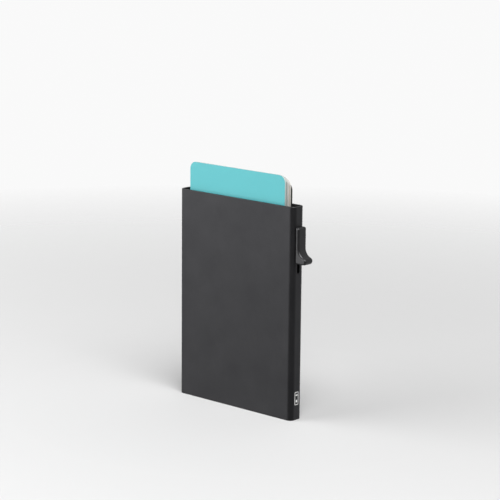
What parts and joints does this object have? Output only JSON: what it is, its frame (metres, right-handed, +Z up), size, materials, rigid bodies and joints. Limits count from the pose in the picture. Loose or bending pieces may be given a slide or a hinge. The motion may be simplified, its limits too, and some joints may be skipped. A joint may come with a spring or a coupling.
{
  "type": "card wallet",
  "caption": "Slim aluminium card holder whose side thumb lever slides to lift a stepped fan of cards out of its open top; sticks to a phone back.",
  "frame": {"origin": "centre of the bottom cap's flat underside, which is flush with the sleeve's lower rim", "axes": "+Z up to the card mouth, +X towards the thumb lever, +Y out of the adhesive back, -Y out of the front face"},
  "size_m": [0.0708, 0.0081, 0.1044],
  "materials": {
    "anodised_aluminium": "fine bead-blasted, black anodised",
    "black_plastic": "moulded, fine texture",
    "lever_plastic": "moulded, satin",
    "silicone": "matte silicone",
    "felt": "short wool felt",
    "foam": "closed-cell foam",
    "adhesive": "tacky acrylic film",
    "white_ink": "pad print",
    "stainless_steel": "fine brushed",
    "card_core": "cut PVC edge",
    "black_core": "cut edge of black PVC",
    "teal_film": "laminated, semi-gloss",
    "sage_film": "laminated, semi-gloss",
    "white_film": "laminated, semi-gloss",
    "cream_film": "laminated, semi-gloss",
    "black_film": "laminated, satin",
    "chip_contacts": "gold-plated contacts",
    "magnetic_stripe": "smooth dark oxide stripe"
  },
  "bodies": {
    "case": {"case_tube": "anodised_aluminium", "bottom_cap": "black_plastic", "left_card_guide": "black_plastic", "left_friction_strip": "silicone", "slider_track": "black_plastic", "right_friction_strip": "silicone", "front_felt_strip": "felt", "rear_felt_strip": "felt", "upper_stop_bumper": "silicone", "lower_stop_bumper": "silicone", "mounting_foam": "foam", "mounting_adhesive": "adhesive", "printed_mark": "white_ink"},
    "slider": {"thumb_lever": "lever_plastic", "slider_carriage": "black_plastic", "lift_bracket": "stainless_steel", "carriage_rivets": "stainless_steel", "detent_leaf": "stainless_steel", "stepped_foot": "black_plastic", "foot_rivets": "stainless_steel"},
    "teal_card": {"teal_card_core": "card_core", "teal_card_front_film": "teal_film", "teal_card_back_film": "teal_film", "teal_card_chip": "chip_contacts", "teal_card_stripe": "magnetic_stripe"},
    "sage_card": {"sage_card_core": "card_core", "sage_card_front_film": "sage_film", "sage_card_back_film": "sage_film", "sage_card_chip": "chip_contacts", "sage_card_stripe": "magnetic_stripe"},
    "white_card": {"white_card_core": "card_core", "white_card_front_film": "white_film", "white_card_back_film": "white_film"},
    "cream_card": {"cream_card_core": "card_core", "cream_card_front_film": "cream_film", "cream_card_back_film": "cream_film", "cream_card_stripe": "magnetic_stripe"},
    "black_card": {"black_card_core": "black_core", "black_card_front_film": "black_film", "black_card_back_film": "black_film", "black_card_chip": "chip_contacts", "black_card_stripe": "magnetic_stripe"}
  },
  "joints": [
    {"name": "lever_slide", "type": "slide", "parent": "case", "child": "slider", "axis": [0, 0, 1], "range_m": [-0.0126, 0]},
    {"name": "teal_card_draw", "type": "slide", "parent": "slider", "child": "teal_card", "axis": [0, 0, 1], "range_m": [0, 0.07]},
    {"name": "sage_card_draw", "type": "slide", "parent": "slider", "child": "sage_card", "axis": [0, 0, 1], "range_m": [0, 0.07]},
    {"name": "white_card_draw", "type": "slide", "parent": "slider", "child": "white_card", "axis": [0, 0, 1], "range_m": [0, 0.07]},
    {"name": "cream_card_draw", "type": "slide", "parent": "slider", "child": "cream_card", "axis": [0, 0, 1], "range_m": [0, 0.07]},
    {"name": "black_card_draw", "type": "slide", "parent": "slider", "child": "black_card", "axis": [0, 0, 1], "range_m": [0, 0.07]}
  ]
}
